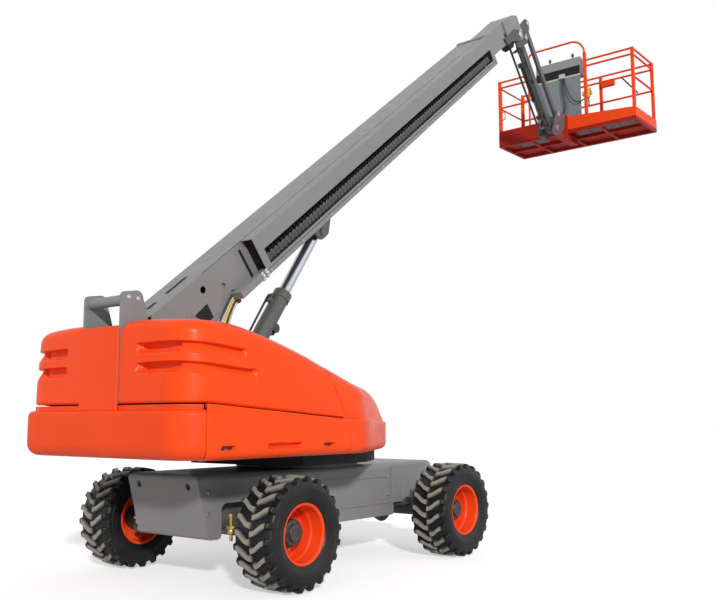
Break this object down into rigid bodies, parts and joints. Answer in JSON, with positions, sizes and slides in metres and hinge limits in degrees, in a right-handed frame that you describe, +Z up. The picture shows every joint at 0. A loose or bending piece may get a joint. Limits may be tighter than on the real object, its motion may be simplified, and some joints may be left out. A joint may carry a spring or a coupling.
{
  "type": "telescopic boom lift",
  "caption": "Self-propelled telescopic boom lift: wheeled chassis, slewing turret, extending boom, jib and railed work platform.",
  "frame": {"origin": "on the ground under the slew axis", "axes": "+X towards the boom's tip as it stands, +Y to the far side, +Z up"},
  "size_m": [9.9696, 2.55, 7.7399],
  "materials": {
    "grey_paint": "satin paint",
    "orange_paint": "gloss paint",
    "orange_cover": "gloss moulded cover",
    "tyre": "moulded rubber",
    "black_paint": "satin black paint",
    "axle_steel": "rough casting",
    "rod_chrome": "polished rod",
    "barrel_paint": "dark satin paint",
    "chain_plastic": "moulded links",
    "console_plastic": "grained box",
    "zinc_sheet": "bare sheet"
  },
  "bodies": {
    "chassis": {"chassis_frame": "grey_paint", "slew_ring": "axle_steel", "drive_axle": "axle_steel", "steer_axle": "axle_steel"},
    "knuckle_near": {"knuckle_near": "axle_steel"},
    "knuckle_far": {"knuckle_far": "axle_steel"},
    "wheel_tail_near": {"tyre_tail_near": "tyre", "rim_tail_near": "orange_paint", "hub_tail_near": "black_paint"},
    "wheel_tail_far": {"tyre_tail_far": "tyre", "rim_tail_far": "orange_paint", "hub_tail_far": "black_paint"},
    "wheel_front_near": {"tyre_front_near": "tyre", "rim_front_near": "orange_paint", "hub_front_near": "black_paint"},
    "wheel_front_far": {"tyre_front_far": "tyre", "rim_front_far": "orange_paint", "hub_front_far": "black_paint"},
    "turret": {"turntable": "grey_paint", "counterweight": "orange_paint", "skirt_near": "orange_cover", "skirt_far": "orange_cover", "nose_near": "orange_cover", "nose_far": "orange_cover", "rear_panel": "orange_cover", "engine": "axle_steel", "tank": "axle_steel"},
    "hood_near": {"hood_near": "orange_cover"},
    "hood_far": {"hood_far": "orange_cover"},
    "boom": {"boom_base": "grey_paint", "cable_tray": "grey_paint", "cable_chain": "chain_plastic"},
    "mid": {"boom_mid": "grey_paint"},
    "fly": {"boom_fly": "grey_paint"},
    "lift_barrel": {"lift_barrel": "barrel_paint"},
    "lift_rod": {"lift_rod": "rod_chrome"},
    "tip": {"tip_bracket": "black_paint"},
    "jib_arm": {"jib_arm": "grey_paint", "jib_lower_rods": "black_paint"},
    "jib_links": {"jib_links": "grey_paint"},
    "upright": {"jib_upright": "grey_paint"},
    "platform": {"platform_mount": "orange_paint", "platform_floor": "orange_paint", "toe_boards": "orange_paint", "platform_rails": "orange_paint", "console": "console_plastic", "console_panel": "zinc_sheet"},
    "gate": {"gate": "orange_paint"}
  },
  "joints": [
    {"name": "steer_near", "type": "hinge", "parent": "chassis", "child": "knuckle_near", "pos_m": [-1.25, -0.77, 0.4775], "axis": [0, 0, 1], "range_deg": [-32, 32]},
    {"name": "steer_far", "type": "hinge", "parent": "chassis", "child": "knuckle_far", "pos_m": [-1.25, 0.77, 0.4775], "axis": [0, 0, 1], "range_deg": [-32, 32]},
    {"name": "roll_tail_near", "type": "hinge", "parent": "knuckle_near", "child": "wheel_tail_near", "pos_m": [-1.25, -1.06, 0.4775], "axis": [0, 1, 0], "continuous": true},
    {"name": "roll_tail_far", "type": "hinge", "parent": "knuckle_far", "child": "wheel_tail_far", "pos_m": [-1.25, 1.06, 0.4775], "axis": [0, 1, 0], "continuous": true},
    {"name": "roll_front_near", "type": "hinge", "parent": "chassis", "child": "wheel_front_near", "pos_m": [1.25, -1.06, 0.4775], "axis": [0, 1, 0], "continuous": true},
    {"name": "roll_front_far", "type": "hinge", "parent": "chassis", "child": "wheel_front_far", "pos_m": [1.25, 1.06, 0.4775], "axis": [0, 1, 0], "continuous": true},
    {"name": "slew", "type": "hinge", "parent": "chassis", "child": "turret", "pos_m": [0, 0, 1.11], "axis": [0, 0, 1], "continuous": true},
    {"name": "hood_near_lift", "type": "hinge", "parent": "turret", "child": "hood_near", "pos_m": [-1.5, -0.25, 2.216], "axis": [-1, 0, 0], "range_deg": [0, 55]},
    {"name": "hood_far_lift", "type": "hinge", "parent": "turret", "child": "hood_far", "pos_m": [-1.5, 0.25, 2.216], "axis": [1, 0, 0], "range_deg": [0, 55]},
    {"name": "boom_lift", "type": "hinge", "parent": "turret", "child": "boom", "pos_m": [-1.66, 0, 1.5], "axis": [0, -1, 0], "range_deg": [-38.3, 31.7]},
    {"name": "lift_swing", "type": "hinge", "parent": "turret", "child": "lift_barrel", "pos_m": [-1.279, 0, 1.209], "axis": [0, -1, 0], "range_deg": [-38.3, 31.7]},
    {"name": "lift_stroke", "type": "slide", "parent": "lift_barrel", "child": "lift_rod", "axis": [0.5737, 0, 0.8191], "range_m": [-0.30081, 0.24897]},
    {"name": "telescope", "type": "slide", "parent": "boom", "child": "mid", "axis": [0.7848, 0, 0.6198], "range_m": [0, 4.5]},
    {"name": "fly_out", "type": "slide", "parent": "mid", "child": "fly", "axis": [0.7848, 0, 0.6198], "range_m": [0, 4.5]},
    {"name": "tip_level", "type": "hinge", "parent": "fly", "child": "tip", "pos_m": [4.79488, 0, 7.23488], "axis": [0, -1, 0], "range_deg": [-31.7, 38.3]},
    {"name": "jib_lift", "type": "hinge", "parent": "tip", "child": "jib_arm", "pos_m": [5.04488, 0, 7.27488], "axis": [0, -1, 0], "range_deg": [-10, 110]},
    {"name": "jib_link_swing", "type": "hinge", "parent": "tip", "child": "jib_links", "pos_m": [5.10488, 0, 7.52488], "axis": [0, -1, 0], "range_deg": [-10, 110]},
    {"name": "upright_level", "type": "hinge", "parent": "jib_arm", "child": "upright", "pos_m": [6.04763, 0, 6.07985], "axis": [0, -1, 0], "range_deg": [-110, 10]},
    {"name": "platform_turn", "type": "hinge", "parent": "upright", "child": "platform", "pos_m": [6.41963, 0, 6.29985], "axis": [0, 0, 1], "range_deg": [-90, 90]},
    {"name": "gate_swing", "type": "hinge", "parent": "platform", "child": "gate", "pos_m": [7.41063, 1.217, 6.79985], "axis": [0, 0, 1], "range_deg": [0, 85]}
  ],
  "couplings": [
    {"joint": "steer_far", "follows": "steer_near", "ratio": 1},
    {"joint": "lift_swing", "follows": "boom_lift", "ratio": 1},
    {"joint": "lift_stroke", "follows": "boom_lift", "m_per_rad": 0.45},
    {"joint": "fly_out", "follows": "telescope", "ratio": 1},
    {"joint": "tip_level", "follows": "boom_lift", "ratio": -1},
    {"joint": "jib_link_swing", "follows": "jib_lift", "ratio": 1},
    {"joint": "upright_level", "follows": "jib_lift", "ratio": -1}
  ]
}
